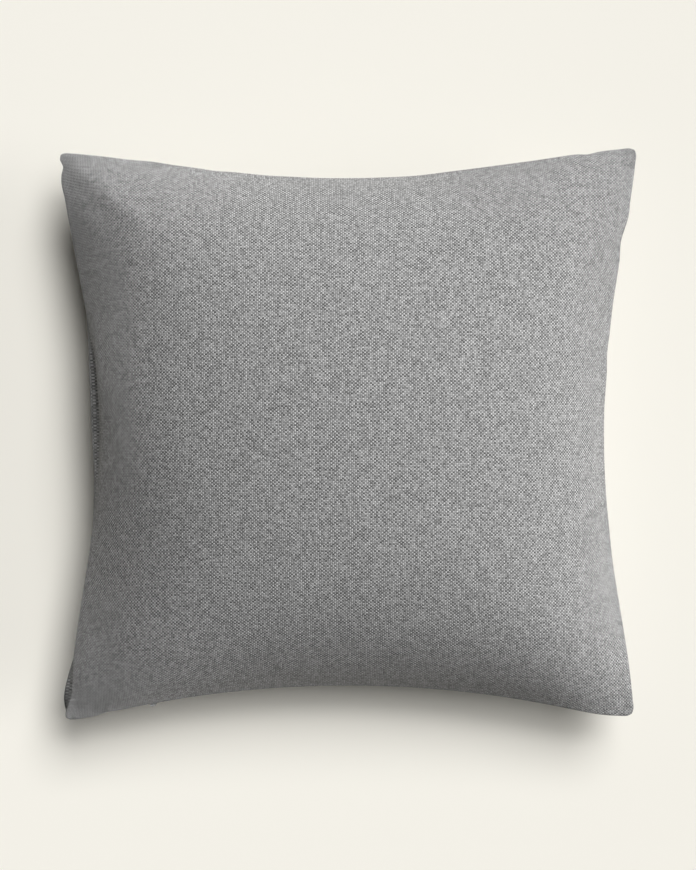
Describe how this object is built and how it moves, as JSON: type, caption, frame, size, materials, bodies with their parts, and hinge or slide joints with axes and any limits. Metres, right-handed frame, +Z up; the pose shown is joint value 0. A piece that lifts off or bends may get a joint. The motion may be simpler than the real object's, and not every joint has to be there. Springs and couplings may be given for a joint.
{
  "type": "throw pillow",
  "caption": "Square throw pillow: a zipped woven cover with pulled-in edges and pointed corners over a stuffed insert, lying flat.",
  "frame": {"origin": "on the surface the pillow lies on, under the middle of its overall box", "axes": "+X along the zipped seam, +Y away from the zipped seam, +Z up through the thickness"},
  "size_m": [0.494, 0.488, 0.173],
  "materials": {
    "cover_cloth": "plain-weave heather linen blend, matt",
    "seam_thread": "spun polyester thread, matt",
    "zip_tape": "woven polyester tape",
    "zip_coil": "nylon coil, satin",
    "zip_metal": "zinc alloy, satin nickel plate",
    "label_satin": "woven satin ribbon, blank",
    "insert_cloth": "fine downproof cotton, matt",
    "insert_thread": "spun polyester thread, matt",
    "fill_fibre": "loose siliconised polyester fibre"
  },
  "bodies": {
    "cushion": {"cover_front_panel": "cover_cloth", "cover_back_panel": "cover_cloth", "cover_seam_thread": "seam_thread", "cover_front_overlock": "seam_thread", "cover_back_overlock": "seam_thread", "zip_tape_front": "zip_tape", "zip_tape_back": "zip_tape", "zip_coil_front": "zip_coil", "zip_coil_back": "zip_coil", "zip_top_stops": "zip_metal", "zip_bottom_stop": "zip_metal", "zip_stitching_front": "seam_thread", "zip_stitching_back": "seam_thread", "zip_bar_tacks": "seam_thread", "care_label": "label_satin", "insert_front_panel": "insert_cloth", "insert_back_panel": "insert_cloth", "insert_seam_thread": "insert_thread", "insert_closing_thread": "insert_thread", "insert_label": "label_satin", "fill": "fill_fibre"},
    "zip_slider": {"zip_slider": "zip_metal"},
    "zip_pull": {"zip_pull": "zip_metal"}
  },
  "joints": [
    {"name": "zip_travel", "type": "hinge", "parent": "cushion", "child": "zip_slider", "pos_m": [0, -1.13962, 0.076], "axis": [0, 0, -1], "range_deg": [0, 21.18]},
    {"name": "pull_swing", "type": "hinge", "parent": "zip_slider", "child": "zip_pull", "pos_m": [-0.16897, -0.23566, 0.076], "axis": [-0.983, -0.1837, 0], "range_deg": [-8, 165]}
  ]
}
